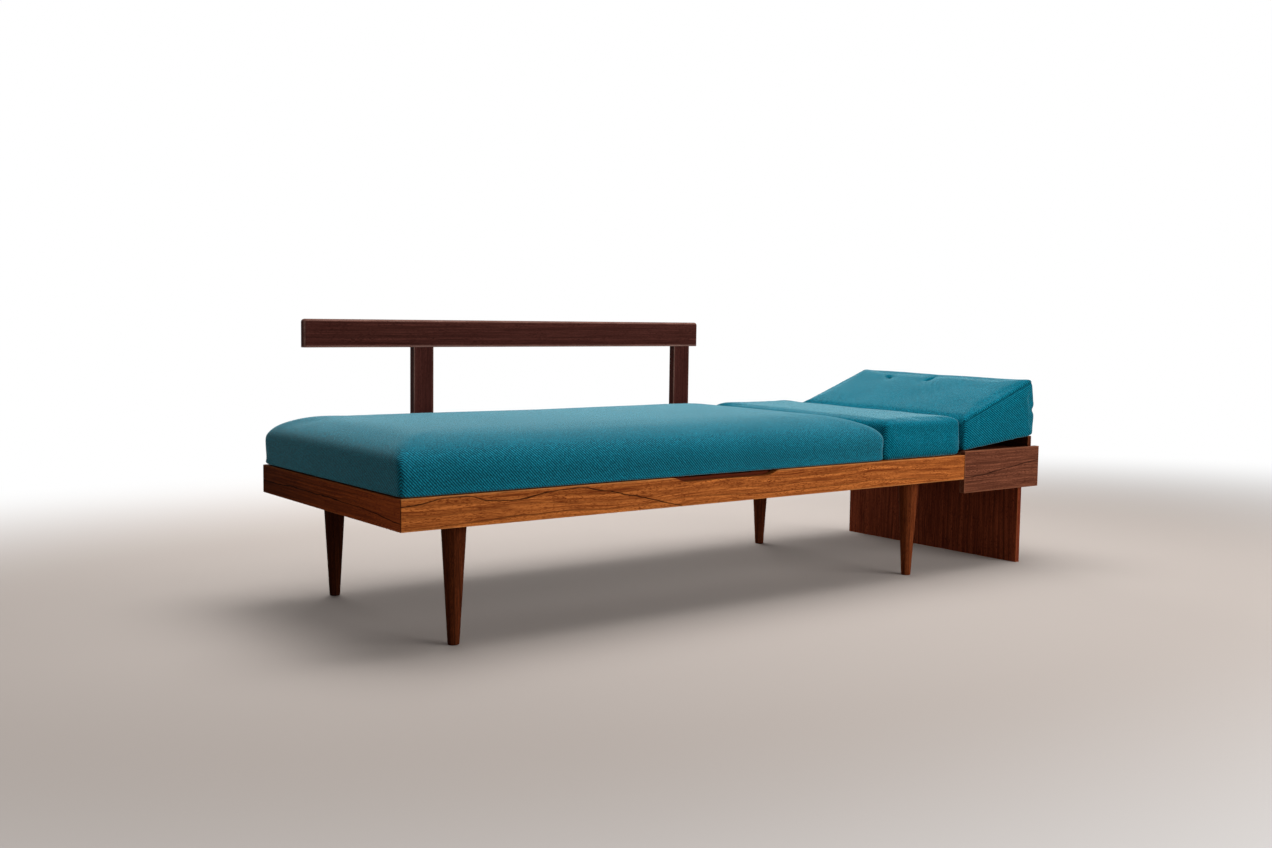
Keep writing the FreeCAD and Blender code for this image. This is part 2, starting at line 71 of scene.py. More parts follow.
def new_material(name):
    """An empty node material, and the tree to build it in."""
    material = bpy.data.materials.new(name)
    material.use_nodes = True
    material.node_tree.nodes.clear()
    return material, material.node_tree


grain_turns = {"x": (0, 0, 0), "y": (0, 0, -math.pi / 2), "z": (0, math.pi / 2, 0)}
heart_black_and_painted_shade = "#170a06"


def dress(material, *names):
    """Puts a material into the slots of these CAD nodes."""
    for name in names:
        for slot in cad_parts[name].material_slots:
            slot.material = material


def rosewood(node, grain, light, dark, heart, ring=5, figure=20, lines=0.85, rarity=2.5, wear_and_highlight_colour="#a9764c",
             vein=(), mitred=False, gloss=0.012, wear_and_highlight_width=3.5, far_end_painted_shade=0.0):
    """Oiled rosewood: streaky brown with black growth lines that wander along the board, open pores that
    show as short dark dashes, a low satin shine, and edges painted paler, partly as wear and partly as a
    painted highlight. Heart moves the board to its place in the log, in mm. Ring is the width of a growth
    ring and figure how far the rings wander, in mm. Lines is how black the growth lines are, and with more
    rarity fewer of them show. Vein is the course of one bold black line, as points of distance along the
    board and height, in mm. Gloss is the shine that is left of the oil, wear_and_highlight_width the width
    of the paler edges in mm, and far_end_painted_shade how much darker the board is painted at its far end,
    as painted shade."""
    material, tree = new_material("rosewood_" + node)
    place = add_node(tree, "ShaderNodeTexCoord", {}, {})
    board = add_node(tree, "ShaderNodeMapping", {}, {
        "Vector": place.outputs["Object"], "Rotation": grain_turns[grain]})
    log = add_node(tree, "ShaderNodeMapping", {}, {
        "Vector": board.outputs[0], "Location": [shift * mm for shift in heart]})
    slow = add_node(tree, "ShaderNodeMapping", {}, {
        "Vector": log.outputs[0], "Scale": (1 / (400 * mm), 1 / (80 * mm), 1 / (80 * mm))})
    wander = add_node(tree, "ShaderNodeTexNoise", {}, {
        "Vector": slow.outputs[0], "Scale": 1.0, "Detail": 2.0, "Roughness": 0.5})
    quick = add_node(tree, "ShaderNodeMapping", {}, {
        "Vector": log.outputs[0], "Scale": (1 / (60 * mm), 1 / (14 * mm), 1 / (14 * mm))})
    flutter = add_node(tree, "ShaderNodeTexNoise", {}, {
        "Vector": quick.outputs[0], "Scale": 1.0, "Detail": 2.0, "Roughness": 0.6})
    bent = add_node(tree, "ShaderNodeVectorMath", {"operation": "MULTIPLY_ADD"}, {
        0: wander.outputs["Color"], 1: (0, figure * mm, figure * mm), 2: log.outputs[0]})
    frayed = add_node(tree, "ShaderNodeVectorMath", {"operation": "MULTIPLY_ADD"}, {
        0: flutter.outputs["Color"], 1: (0, 2.5 * mm, 2.5 * mm), 2: bent.outputs[0]})
    section = add_node(tree, "ShaderNodeVectorMath", {"operation": "MULTIPLY"}, {
        0: frayed.outputs[0], 1: (0, 1, 1)})
    radius = add_node(tree, "ShaderNodeVectorMath", {"operation": "LENGTH"}, {0: section.outputs[0]})
    rings = add_node(tree, "ShaderNodeMath", {"operation": "DIVIDE"}, {
        0: radius.outputs["Value"], 1: ring * mm})
    year = add_node(tree, "ShaderNodeMath", {"operation": "FLOOR"}, {0: rings.outputs[0]})
    season = add_node(tree, "ShaderNodeMath", {"operation": "FRACT"}, {0: rings.outputs[0]})
    chance = add_node(tree, "ShaderNodeTexWhiteNoise", {"noise_dimensions": "1D"}, {"W": year.outputs[0]})
    late = add_node(tree, "ShaderNodeMapRange", {}, {
        "Value": season.outputs[0], "From Min": 0.5, "From Max": 0.95})
    bold = add_node(tree, "ShaderNodeMath", {"operation": "POWER"}, {0: chance.outputs["Value"], 1: rarity})
    fade = add_node(tree, "ShaderNodeMapRange", {}, {
        "Value": wander.outputs["Fac"], "From Min": 0.35, "From Max": 0.6, "To Min": 0.35, "To Max": lines})
    line = add_node(tree, "ShaderNodeMath", {"operation": "MULTIPLY"}, {
        0: late.outputs[0], 1: bold.outputs[0]})
    drawn = add_node(tree, "ShaderNodeMath", {"operation": "MULTIPLY"}, {
        0: line.outputs[0], 1: fade.outputs[0]})

    streaks_place = add_node(tree, "ShaderNodeMapping", {}, {
        "Vector": frayed.outputs[0], "Scale": (1 / (220 * mm), 1 / (2.6 * mm), 1 / (2.6 * mm))})
    streaks = add_node(tree, "ShaderNodeTexNoise", {}, {
        "Vector": streaks_place.outputs[0], "Scale": 1.0, "Detail": 3.0, "Roughness": 0.6})
    tone = add_node(tree, "ShaderNodeMath", {"operation": "MULTIPLY_ADD"}, {
        0: chance.outputs["Value"], 1: 0.16, 2: streaks.outputs["Fac"]})
    spread = add_node(tree, "ShaderNodeMapRange", {}, {
        "Value": tone.outputs[0], "From Min": 0.36, "From Max": 0.8})
    wood = add_node(tree, "ShaderNodeMix", {"data_type": "RGBA"}, {
        "Factor": spread.outputs[0], 6: linear(dark), 7: linear(light)})
    lined = add_node(tree, "ShaderNodeMix", {"data_type": "RGBA"}, {
        "Factor": drawn.outputs[0], 6: wood.outputs[2], 7: linear(heart_black_and_painted_shade)})
    # Pores are drawn over a millimetre wide, coarser than the real ones, so that they show
    pores_place = add_node(tree, "ShaderNodeMapping", {}, {
        "Vector": bent.outputs[0], "Scale": (1 / (8 * mm), 1 / (1.5 * mm), 1 / (1.5 * mm))})
    pores = add_node(tree, "ShaderNodeTexNoise", {}, {
        "Vector": pores_place.outputs[0], "Scale": 1.0, "Detail": 1.0, "Roughness": 0.5})
    cluster = add_node(tree, "ShaderNodeMapRange", {}, {
        "Value": flutter.outputs["Fac"], "From Min": 0.35, "From Max": 0.65, "To Min": 0.3, "To Max": 1.0})
    flecks = add_node(tree, "ShaderNodeMapRange", {}, {
        "Value": pores.outputs["Fac"], "From Min": 0.5, "From Max": 0.62, "To Max": cluster.outputs[0]})
    surface = add_node(tree, "ShaderNodeMix", {"data_type": "RGBA"}, {
        "Factor": flecks.outputs[0], 6: lined.outputs[2], 7: linear(dark)})

    low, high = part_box(node)
    along_axis = "xyz".index(grain)
    run = add_node(tree, "ShaderNodeSeparateXYZ", {}, {"Vector": board.outputs[0]})
    share = add_node(tree, "ShaderNodeMapRange", {}, {
        "Value": run.outputs["X"], "From Min": low[along_axis], "From Max": high[along_axis]})
    # Painted shade: the board is mixed towards black along its length, most at its far end, where less light
    # falls
    if far_end_painted_shade:
        painted_shade_share = add_node(tree, "ShaderNodeMath", {"operation": "MULTIPLY"}, {
            0: share.outputs[0], 1: far_end_painted_shade})
        surface = add_node(tree, "ShaderNodeMix", {"data_type": "RGBA"}, {
            "Factor": painted_shade_share.outputs[0], 6: surface.outputs[2], 7: linear(heart_black_and_painted_shade)})
    if vein:
        # The line may run off the board by as much as the verge, and its edge frays up and down
        verge, fray = 20 * mm, 9 * mm
        course = add_node(tree, "ShaderNodeFloatCurve", {}, {"Value": share.outputs[0]})
        spots = [((along * mm - low[along_axis]) / (high[along_axis] - low[along_axis]),
                  (height * mm - low.z + verge) / (high.z - low.z + 2 * verge)) for along, height in vein]
        knots = course.mapping.curves[0].points
        knots[0].location, knots[-1].location = spots[0], spots[-1]
        for spot in spots[1:-1]:
            knots.new(*spot)
        course.mapping.update()
        crest = add_node(tree, "ShaderNodeMapRange", {}, {
            "Value": course.outputs[0],
            "To Min": low.z - verge - fray / 2, "To Max": high.z + verge - fray / 2})
        ragged = add_node(tree, "ShaderNodeMath", {"operation": "MULTIPLY_ADD"}, {
            0: flutter.outputs["Fac"], 1: fray, 2: crest.outputs[0]})
        off = add_node(tree, "ShaderNodeMath", {"operation": "SUBTRACT"}, {
            0: run.outputs["Z"], 1: ragged.outputs[0]})
        away = add_node(tree, "ShaderNodeMath", {"operation": "ABSOLUTE"}, {0: off.outputs[0]})
        mark = add_node(tree, "ShaderNodeMapRange", {}, {
            "Value": away.outputs[0], "From Min": 0.4 * mm, "From Max": 1.9 * mm,
            "To Min": 0.9, "To Max": 0.0})
        surface = add_node(tree, "ShaderNodeMix", {"data_type": "RGBA"}, {
            "Factor": mark.outputs[0], 6: surface.outputs[2], 7: linear(heart_black_and_painted_shade)})

    # Edges painted paler, partly as wear and partly as a painted highlight, lie where two faces of the board
    # are both close, and a mitre shows as a dark line
    half = (high - low) / 2
    off_middle = add_node(tree, "ShaderNodeVectorMath", {"operation": "SUBTRACT"}, {
        0: place.outputs["Object"], 1: (low + high) / 2})
    spread_out = add_node(tree, "ShaderNodeVectorMath", {"operation": "ABSOLUTE"}, {
        0: off_middle.outputs[0]})
    inset = add_node(tree, "ShaderNodeVectorMath", {"operation": "SUBTRACT"}, {
        0: half, 1: spread_out.outputs[0]})
    depths = add_node(tree, "ShaderNodeSeparateXYZ", {}, {"Vector": inset.outputs[0]})
    ends = depths.outputs[along_axis]
    sides = [depths.outputs[axis] for axis in range(3) if axis != along_axis]
    further = add_node(tree, "ShaderNodeMath", {"operation": "MAXIMUM"}, {0: sides[0], 1: sides[1]})
    edge = further
    if not mitred:
        nearer = add_node(tree, "ShaderNodeMath", {"operation": "MINIMUM"}, {0: sides[0], 1: sides[1]})
        end_or_side = add_node(tree, "ShaderNodeMath", {"operation": "MINIMUM"}, {
            0: further.outputs[0], 1: ends})
        edge = add_node(tree, "ShaderNodeMath", {"operation": "MAXIMUM"}, {
            0: nearer.outputs[0], 1: end_or_side.outputs[0]})
    # Painted highlight: the paler edge colour stands for light caught on the rounded edges as well as for
    # wear
    wear_and_highlight_share = add_node(tree, "ShaderNodeMapRange", {}, {
        "Value": edge.outputs[0], "From Min": 0.3 * wear_and_highlight_width * mm, "From Max": wear_and_highlight_width * mm,
        "To Min": 0.75, "To Max": 0.0})
    patchy = add_node(tree, "ShaderNodeMath", {"operation": "MULTIPLY"}, {
        0: wear_and_highlight_share.outputs[0], 1: flutter.outputs["Fac"]})
    surface = add_node(tree, "ShaderNodeMix", {"data_type": "RGBA"}, {
        "Factor": patchy.outputs[0], 6: surface.outputs[2], 7: linear(wear_and_highlight_colour)})
    if mitred:
        joint = add_node(tree, "ShaderNodeMapRange", {}, {
            "Value": ends, "From Min": 0.6 * mm, "From Max": 2.2 * mm, "To Min": 0.85, "To Max": 0.0})
        surface = add_node(tree, "ShaderNodeMix", {"data_type": "RGBA"}, {
            "Factor": joint.outputs[0], 6: surface.outputs[2], 7: linear(heart_black_and_painted_shade)})
    rough = add_node(tree, "ShaderNodeMapRange", {}, {
        "Value": tone.outputs[0], "From Min": 0.3, "From Max": 0.8, "To Min": 0.5, "To Max": 0.38})
    height = add_node(tree, "ShaderNodeMath", {"operation": "SUBTRACT"}, {
        0: streaks.outputs["Fac"], 1: flecks.outputs[0]})
    bump = add_node(tree, "ShaderNodeBump", {}, {
        "Height": height.outputs[0], "Strength": 0.3, "Distance": 0.25 * mm})
    shader = add_node(tree, "ShaderNodeBsdfPrincipled", {}, {
        "Base Color": surface.outputs[2], "Roughness": rough.outputs[0], "Normal": bump.outputs[0],
        "IOR": 1.5, "Specular IOR Level": gloss})
    add_node(tree, "ShaderNodeOutputMaterial", {}, {"Surface": shader.outputs[0]})
    dress(material, node)


front_vein = [(-1000, 304), (-958, 308), (-860, 316), (-794, 302), (-747, 301), (-669, 309), (-599, 315),
              (-538, 309), (-481, 298), (-417, 285), (-358, 270), (-302, 257), (-240, 238), (680, 236)]
rosewood("front_rail", "x", "#c37236", "#6a3113", (0, 426, -234), ring=6, figure=34, lines=0.8, rarity=3,
         wear_and_highlight_colour="#c98a52", vein=front_vein, mitred=True)
# The left end rail is painted darker towards its far end, as painted shade
rosewood("left_end_rail", "y", "#aa5326", "#672c18", (0, -950, -234), ring=6, figure=8, wear_and_highlight_colour="#8f5229",
         vein=[(-366, 272), (-200, 281), (-60, 285), (344, 283)], mitred=True, gloss=0.001, far_end_painted_shade=0.78)
rosewood("right_end_rail", "y", "#6a3219", "#38190d", (300, 730, -240), wear_and_highlight_colour="#8a5230", mitred=True)
rosewood("back_rail", "x", "#6d351b", "#3a1a0e", (1200, -284, -230), wear_and_highlight_colour="#8a5230", mitred=True)


# Softwood inside the frame: ledgers along the long rails, thirteen slats let into them, a centre
# rail, two cross rails that carry the legs, and glue blocks in the corners. Planed pine, coloured a
# dark red brown; it shows through the finger notch.
def pine(name, grain, start, early, late):
    """Pine: pale yellow wood, or wood coloured dark, with soft darker latewood lines, dry and matt."""
    material, tree = new_material(name)
    place = add_node(tree, "ShaderNodeTexCoord", {}, {})
    log = add_node(tree, "ShaderNodeMapping", {}, {
        "Vector": place.outputs["Object"], "Rotation": grain_turns[grain],
        "Location": [shift * mm for shift in start]})
    rings_place = add_node(tree, "ShaderNodeMapping", {}, {
        "Vector": log.outputs[0], "Scale": (1 / (900 * mm), 1 / (6 * mm), 1 / (6 * mm))})
    rings = add_node(tree, "ShaderNodeTexNoise", {}, {
        "Vector": rings_place.outputs[0], "Scale": 1.0, "Detail": 3.0, "Roughness": 0.5})
    lines = add_node(tree, "ShaderNodeMapRange", {}, {
        "Value": rings.outputs["Fac"], "From Min": 0.4, "From Max": 0.62})
    wood = add_node(tree, "ShaderNodeMix", {"data_type": "RGBA"}, {
        "Factor": lines.outputs[0], 6: linear(early), 7: linear(late)})
    bump = add_node(tree, "ShaderNodeBump", {}, {
        "Height": rings.outputs["Fac"], "Strength": 0.3, "Distance": 0.2 * mm})
    shader = add_node(tree, "ShaderNodeBsdfPrincipled", {}, {
        "Base Color": wood.outputs[2], "Roughness": 0.68, "Normal": bump.outputs[0], "IOR": 1.5,
        "Specular IOR Level": 0.02})
    add_node(tree, "ShaderNodeOutputMaterial", {}, {"Surface": shader.outputs[0]})
    return material


slats = ["slat_%02d" % number for number in range(1, 14)]
dark_pine_colours = "#6a2f1c", "#4a1d11"
dress(pine("pine_dark_lengthwise", "x", (0, 0, 0), *dark_pine_colours), "front_ledger", "back_ledger", "centre_rail")
dress(pine("pine_dark_crosswise", "y", (70, 30, 10), *dark_pine_colours),
      "left_leg_rail", "right_leg_rail", "corner_blocks", *slats)


# Legs: four turned tapering pegs of solid rosewood, each bolted up into a cross rail.
# The one at the front right is cut from redder wood than the other three. The back right leg is painted
# lighter, as painted light against the shade it stands in, and the back left one darker, as painted shade.
leg_woods_with_painted_light = {
    "leg_front_left": ("#5e2d17", "#36170b"), "leg_front_right": ("#7f4122", "#4a2010"),
    "leg_back_left": ("#45210f", "#28100a"), "leg_back_right": ("#703820", "#442012"),
}
for leg, (leg_light, leg_dark) in leg_woods_with_painted_light.items():
    leg_low, leg_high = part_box(leg)
    leg_heart = (0, 40 - leg_low.y / mm, 15 + leg_high.x / mm)
    rosewood(leg, "z", leg_light, leg_dark, leg_heart, ring=5, figure=8, wear_and_highlight_colour=leg_light, gloss=0.002)


# Fixings: machine bolts, tee nuts, washers and countersunk wood screws of zinc plated steel,
# turned or pressed, with the faintly clouded shine that the plating leaves.
zinc, zinc_tree = new_material("zinc_plated_steel")
zinc_place = add_node(zinc_tree, "ShaderNodeTexCoord", {}, {})
zinc_cloud = add_node(zinc_tree, "ShaderNodeTexNoise", {}, {
    "Vector": zinc_place.outputs["Object"], "Scale": 1 / (4 * mm), "Detail": 3.0})
zinc_rough = add_node(zinc_tree, "ShaderNodeMapRange", {}, {
    "Value": zinc_cloud.outputs["Fac"], "To Min": 0.28, "To Max": 0.5})
zinc_tint = add_node(zinc_tree, "ShaderNodeMix", {"data_type": "RGBA"}, {
    "Factor": zinc_cloud.outputs["Fac"], 6: linear("#c9cbcc"), 7: linear("#a9abab")})
zinc_shader = add_node(zinc_tree, "ShaderNodeBsdfPrincipled", {}, {
    "Base Color": zinc_tint.outputs[2], "Metallic": 1.0, "Roughness": zinc_rough.outputs[0]})
add_node(zinc_tree, "ShaderNodeOutputMaterial", {}, {"Surface": zinc_shader.outputs[0]})
dress(zinc, "leg_bolts", "leg_tee_nuts", "ledger_screws", "leg_rail_screws", "slat_screws",
      "post_bolts", "post_washers", "post_nuts", "table_screws")


# Backrest: one rail on two flat posts, tenoned together and bolted behind the frame.
# Solid rosewood, the darkest on the piece, with rounded edges that are painted paler, as a painted highlight
# and as wear.
# The paler edge colour and wider edge band paint the highlight line along the rail's rounded top edge
rosewood("backrest_rail", "x", "#562e27", "#351914", (800, -284, -581), ring=4, figure=8,
         wear_and_highlight_colour="#b08a7c", wear_and_highlight_width=6)
for post in ("backrest_post_left", "backrest_post_right"):
    post_low, post_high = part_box(post)
    post_heart = (150, -post_low.y / mm + 70, post_high.x / mm + 10)
    rosewood(post, "z", "#512a24", "#311612", post_heart, ring=4, figure=8, wear_and_highlight_colour="#a07a6c")


# End table: two aprons carry a top with a raised end board, on one wide leg panel, and it draws
# out on two waxed beech runners with stop pegs. The aprons are purple brown rosewood, and the
# panel has bold upright stripes.
def beech(name, grain):
    """Waxed beech: even pinkish wood with short darker flecks and a faint shine."""
    material, tree = new_material(name)
    place = add_node(tree, "ShaderNodeTexCoord", {}, {})
    log = add_node(tree, "ShaderNodeMapping", {}, {
        "Vector": place.outputs["Object"], "Rotation": grain_turns[grain]})
    flecks_place = add_node(tree, "ShaderNodeMapping", {}, {
        "Vector": log.outputs[0], "Scale": (1 / (12 * mm), 1 / (1.2 * mm), 1 / (1.2 * mm))})
    flecks = add_node(tree, "ShaderNodeTexNoise", {}, {
        "Vector": flecks_place.outputs[0], "Scale": 1.0, "Detail": 2.0, "Roughness": 0.5})
    shown = add_node(tree, "ShaderNodeMapRange", {}, {
        "Value": flecks.outputs["Fac"], "From Min": 0.5, "From Max": 0.7})
    wood = add_node(tree, "ShaderNodeMix", {"data_type": "RGBA"}, {
        "Factor": shown.outputs[0], 6: linear("#d3a981"), 7: linear("#a97650")})
    bump = add_node(tree, "ShaderNodeBump", {}, {
        "Height": flecks.outputs["Fac"], "Strength": 0.2, "Distance": 0.15 * mm})
    shader = add_node(tree, "ShaderNodeBsdfPrincipled", {}, {
        "Base Color": wood.outputs[2], "Roughness": 0.45, "Normal": bump.outputs[0], "IOR": 1.5})
    add_node(tree, "ShaderNodeOutputMaterial", {}, {"Surface": shader.outputs[0]})
    return material


apron_vein = [(681, 259), (760, 262), (880, 278), (1000, 292)]
rosewood("table_front_apron", "x", "#7d4a35", "#472519", (640, 416, -206), ring=6, figure=26,
         wear_and_highlight_colour="#8f5c42", vein=apron_vein)
rosewood("table_back_apron", "x", "#7a4332", "#4b241a", (140, -250, -206), ring=6, figure=24,
         wear_and_highlight_colour="#8f5c42")
rosewood("table_top", "y", "#6b341b", "#3a1b0f", (20, 760, -290), ring=7)
rosewood("table_end_board", "y", "#5f2d18", "#331509", (210, 1030, -216), ring=6, wear_and_highlight_colour="#7d4a30")
rosewood("table_leg_panel", "z", "#8f462b", "#481b10", (60, 390, 974), ring=17, figure=30, lines=0.95,
         rarity=1.4, wear_and_highlight_colour="#8a4a26")
dress(beech("beech_runners", "x"), "table_runner_front", "table_runner_back")
dress(beech("beech_pegs", "y"), "table_stop_pegs")
dress(pine("pine_bare", "x", (40, 90, 20), "#dcb987", "#b98a55"), "table_cleats")


# Mattress: one long block of foam in a sewn teal wool cover, laid loose on the slats.
# Years of use have rolled its top edges off, and its upright corners are plain seams.
def wool(name, nap, nap_width):
    """Teal upholstery wool in a twill weave: dark and light yarns that make fine slanting ribs, speckled
    from thread to thread and painted darker at each thread's edges as painted shade in the hollows of the
    weave, with a matt nap that turns pale at a flat angle, over a wider angle where it is worn. The threads
    are drawn 1.7 mm wide, coarser than the real ones, so that the ribs show. A seam is a thin sunken dark
    line, and the same mark darkens the folds of the wedge's pinches as painted shade."""
    thread = 1.7 * mm
    material, tree = new_material(name)
    cloth = add_node(tree, "ShaderNodeUVMap", {"uv_map": "cloth"}, {})
    threads = add_node(tree, "ShaderNodeMapping", {}, {
        "Vector": cloth.outputs[0], "Scale": (1 / thread, 1 / thread, 1)})
    crossing = add_node(tree, "ShaderNodeSeparateXYZ", {}, {"Vector": threads.outputs[0]})
    end = add_node(tree, "ShaderNodeMath", {"operation": "FLOOR"}, {0: crossing.outputs["X"]})
    pick = add_node(tree, "ShaderNodeMath", {"operation": "FLOOR"}, {0: crossing.outputs["Y"]})
    step = add_node(tree, "ShaderNodeMath", {"operation": "ADD"}, {0: end.outputs[0], 1: pick.outputs[0]})
    turn = add_node(tree, "ShaderNodeMath", {"operation": "FLOORED_MODULO"}, {0: step.outputs[0], 1: 4.0})
    warp_up = add_node(tree, "ShaderNodeMath", {"operation": "LESS_THAN"}, {0: turn.outputs[0], 1: 2.0})
    across_end = add_node(tree, "ShaderNodeMath", {"operation": "PINGPONG"}, {
        0: crossing.outputs["X"], 1: 0.5})
    across_pick = add_node(tree, "ShaderNodeMath", {"operation": "PINGPONG"}, {
        0: crossing.outputs["Y"], 1: 0.5})
    yarn_round = add_node(tree, "ShaderNodeMix", {"data_type": "FLOAT"}, {
        0: warp_up.outputs[0], 2: across_pick.outputs[0], 3: across_end.outputs[0]})
    square = add_node(tree, "ShaderNodeCombineXYZ", {}, {"X": end.outputs[0], "Y": pick.outputs[0]})
    speckle = add_node(tree, "ShaderNodeTexWhiteNoise", {"noise_dimensions": "2D"}, {
        "Vector": square.outputs[0]})
    slubs = add_node(tree, "ShaderNodeTexNoise", {}, {
        "Vector": cloth.outputs[0], "Scale": 1 / (6 * mm), "Detail": 2.0, "Roughness": 0.6})
    wear_place = add_node(tree, "ShaderNodeTexCoord", {}, {})
    wear = add_node(tree, "ShaderNodeTexNoise", {}, {
        "Vector": wear_place.outputs["Object"], "Scale": 1 / (160 * mm), "Detail": 3.0, "Roughness": 0.55})
    yarns = add_node(tree, "ShaderNodeMix", {"data_type": "RGBA"}, {
        "Factor": warp_up.outputs[0], 6: linear("#043543"), 7: linear("#0e7489")})
    speckled = add_node(tree, "ShaderNodeMapRange", {}, {
        "Value": speckle.outputs["Value"], "To Min": 0.62, "To Max": 1.38})
    mottle = add_node(tree, "ShaderNodeMapRange", {}, {
        "Value": slubs.outputs["Fac"], "From Min": 0.3, "From Max": 0.7, "To Min": 0.82, "To Max": 1.18})
    faded = add_node(tree, "ShaderNodeMapRange", {}, {
        "Value": wear.outputs["Fac"], "From Min": 0.3, "From Max": 0.7, "To Min": 0.95, "To Max": 1.05})
    # Painted shade: each thread is darker towards its edges, where it dips into the hollows of the weave
    hollow_shade = add_node(tree, "ShaderNodeMapRange", {}, {
        "Value": yarn_round.outputs[0], "From Min": 0.0, "From Max": 0.4, "To Min": 0.7, "To Max": 1.08})
    melange = add_node(tree, "ShaderNodeMath", {"operation": "MULTIPLY"}, {
        0: speckled.outputs[0], 1: mottle.outputs[0]})
    shade = add_node(tree, "ShaderNodeMath", {"operation": "MULTIPLY"}, {
        0: melange.outputs[0], 1: faded.outputs[0]})
    depth = add_node(tree, "ShaderNodeMath", {"operation": "MULTIPLY"}, {
        0: shade.outputs[0], 1: hollow_shade.outputs[0]})
    cover = add_node(tree, "ShaderNodeVectorMath", {"operation": "SCALE"}, {
        0: yarns.outputs[2], "Scale": depth.outputs[0]})
    seam_and_fold_shade = add_node(tree, "ShaderNodeAttribute", {"attribute_name": "seam_and_fold_shade"}, {})
    # The seam mark darkens the seam lines, and on the wedge the pinch folds too, as painted shade
    colour = add_node(tree, "ShaderNodeMix", {"data_type": "RGBA"}, {
        "Factor": seam_and_fold_shade.outputs["Fac"], 6: cover.outputs[0], 7: linear("#042a35")})
    relief = add_node(tree, "ShaderNodeMath", {"operation": "SUBTRACT"}, {
        0: yarn_round.outputs[0], 1: seam_and_fold_shade.outputs["Fac"]})
    weave_bump = add_node(tree, "ShaderNodeBump", {}, {
        "Height": relief.outputs[0], "Strength": 0.6, "Distance": 0.5 * mm})
    shader = add_node(tree, "ShaderNodeBsdfPrincipled", {}, {
        "Base Color": colour.outputs[2], "Roughness": 0.9, "Normal": weave_bump.outputs[0],
        "IOR": 1.45, "Specular IOR Level": 0.02, "Sheen Weight": nap, "Sheen Roughness": nap_width,
        "Sheen Tint": linear("#bae4ea")})
    add_node(tree, "ShaderNodeOutputMaterial", {}, {"Surface": shader.outputs[0]})
    return material


def points_of(piece):
    """The piece's vertices as an array of points."""
    flat = np.zeros(len(piece.data.vertices) * 3)
    piece.data.vertices.foreach_get("co", flat)
    return flat.reshape(-1, 3)


def move_points(piece, points):
    """Puts the piece's vertices at these points."""
    piece.data.vertices.foreach_set("co", points.ravel())
    piece.data.update()


def ramp(values, start, stop):
    """From 0 at start to 1 at stop, in a straight line."""
    return np.clip((values - start) / (stop - start), 0.0, 1.0)


def foam_block(name, low, high):
    """A cube at its size and place, with its object at the origin, ready to be shaped in edit mode."""
    bpy.ops.object.select_all(action="DESELECT")
    bpy.ops.mesh.primitive_cube_add(size=1.0, location=(low + high) / 2)
    block = bpy.context.active_object
    block.name = name
    block.scale = high - low
    bpy.ops.object.transform_apply(location=True, rotation=True, scale=True)
    return block


def round_edges(piece, along, width, where=None):
    """Rounds the straight edges that run along one direction, or only those where a test of their middle
    holds."""
    bpy.ops.object.mode_set(mode="EDIT")
    bpy.ops.mesh.select_mode(type="EDGE")
    bpy.ops.mesh.select_all(action="DESELECT")
    bpy.ops.object.mode_set(mode="OBJECT")
    for edge in piece.data.edges:
        first, last = (piece.data.vertices[corner].co for corner in edge.vertices)
        runs_along = abs((last - first).normalized().dot(along)) > 0.9
        edge.select = runs_along and (where is None or where((first + last) / 2))
    bpy.ops.object.mode_set(mode="EDIT")
    bpy.ops.mesh.bevel(offset=width, segments=4, affect="EDGES")
    bpy.ops.object.mode_set(mode="OBJECT")


def apply_modifier(piece, kind, **settings):
    """Adds a modifier with these settings and applies it."""
    bpy.context.view_layer.objects.active = piece
    modifier = piece.modifiers.new(kind.lower(), kind)
    for name, value in settings.items():
        setattr(modifier, name, value)
    bpy.ops.object.modifier_apply(modifier=modifier.name)


def roll_top(piece, low, high, left, right, sides):
    """Rolls the block's top down at its left end, its right end and its sides, each to a height over a
    reach."""
    points = points_of(piece)
    full = high.z - low.z
    off_side = np.minimum(points[:, 1] - low.y, high.y - points[:, 1])
    drop = np.zeros(len(points))
    off_left, off_right = points[:, 0] - low.x, high.x - points[:, 0]
    for way, (height, reach) in ((off_left, left), (off_right, right), (off_side, sides)):
        drop += ((full - height) * (1 - np.sqrt(1 - (1 - ramp(way, 0.0, reach)) ** 2))) ** 4
    points[:, 2] = low.z + (points[:, 2] - low.z) * (full - drop ** 0.25) / full
    move_points(piece, points)


scene = bpy.context.scene


def stuff(piece, resting, cap):
    """Swells the cover with Blender's cloth, held where it rests, and eases the creases. No point moves
    further than cap."""
    pressure, last_frame = 4.0, 20
    held = piece.vertex_groups.new(name="resting")
    held.add([int(number) for number in np.flatnonzero(resting)], 1.0, "REPLACE")
    before = points_of(piece)
    bpy.context.view_layer.objects.active = piece
    cloth = piece.modifiers.new("cover", "CLOTH")
    cloth.settings.vertex_group_mass = "resting"
    cloth.settings.use_pressure = True
    cloth.settings.uniform_pressure_force = pressure
    cloth.settings.effector_weights.gravity = 0.0
    cloth.point_cache.frame_start = 1
    cloth.point_cache.frame_end = last_frame
    for frame_number in range(1, last_frame + 1):
        scene.frame_set(frame_number)
    bpy.ops.object.modifier_apply(modifier="cover")
    scene.frame_set(1)
    way = points_of(piece) - before
    length = np.linalg.norm(way, axis=1, keepdims=True) + 1e-9
    move_points(piece, before + way / length * cap * np.tanh(length / cap))
    piece.vertex_groups.clear()
    apply_modifier(piece, "SMOOTH", factor=0.5, iterations=3)


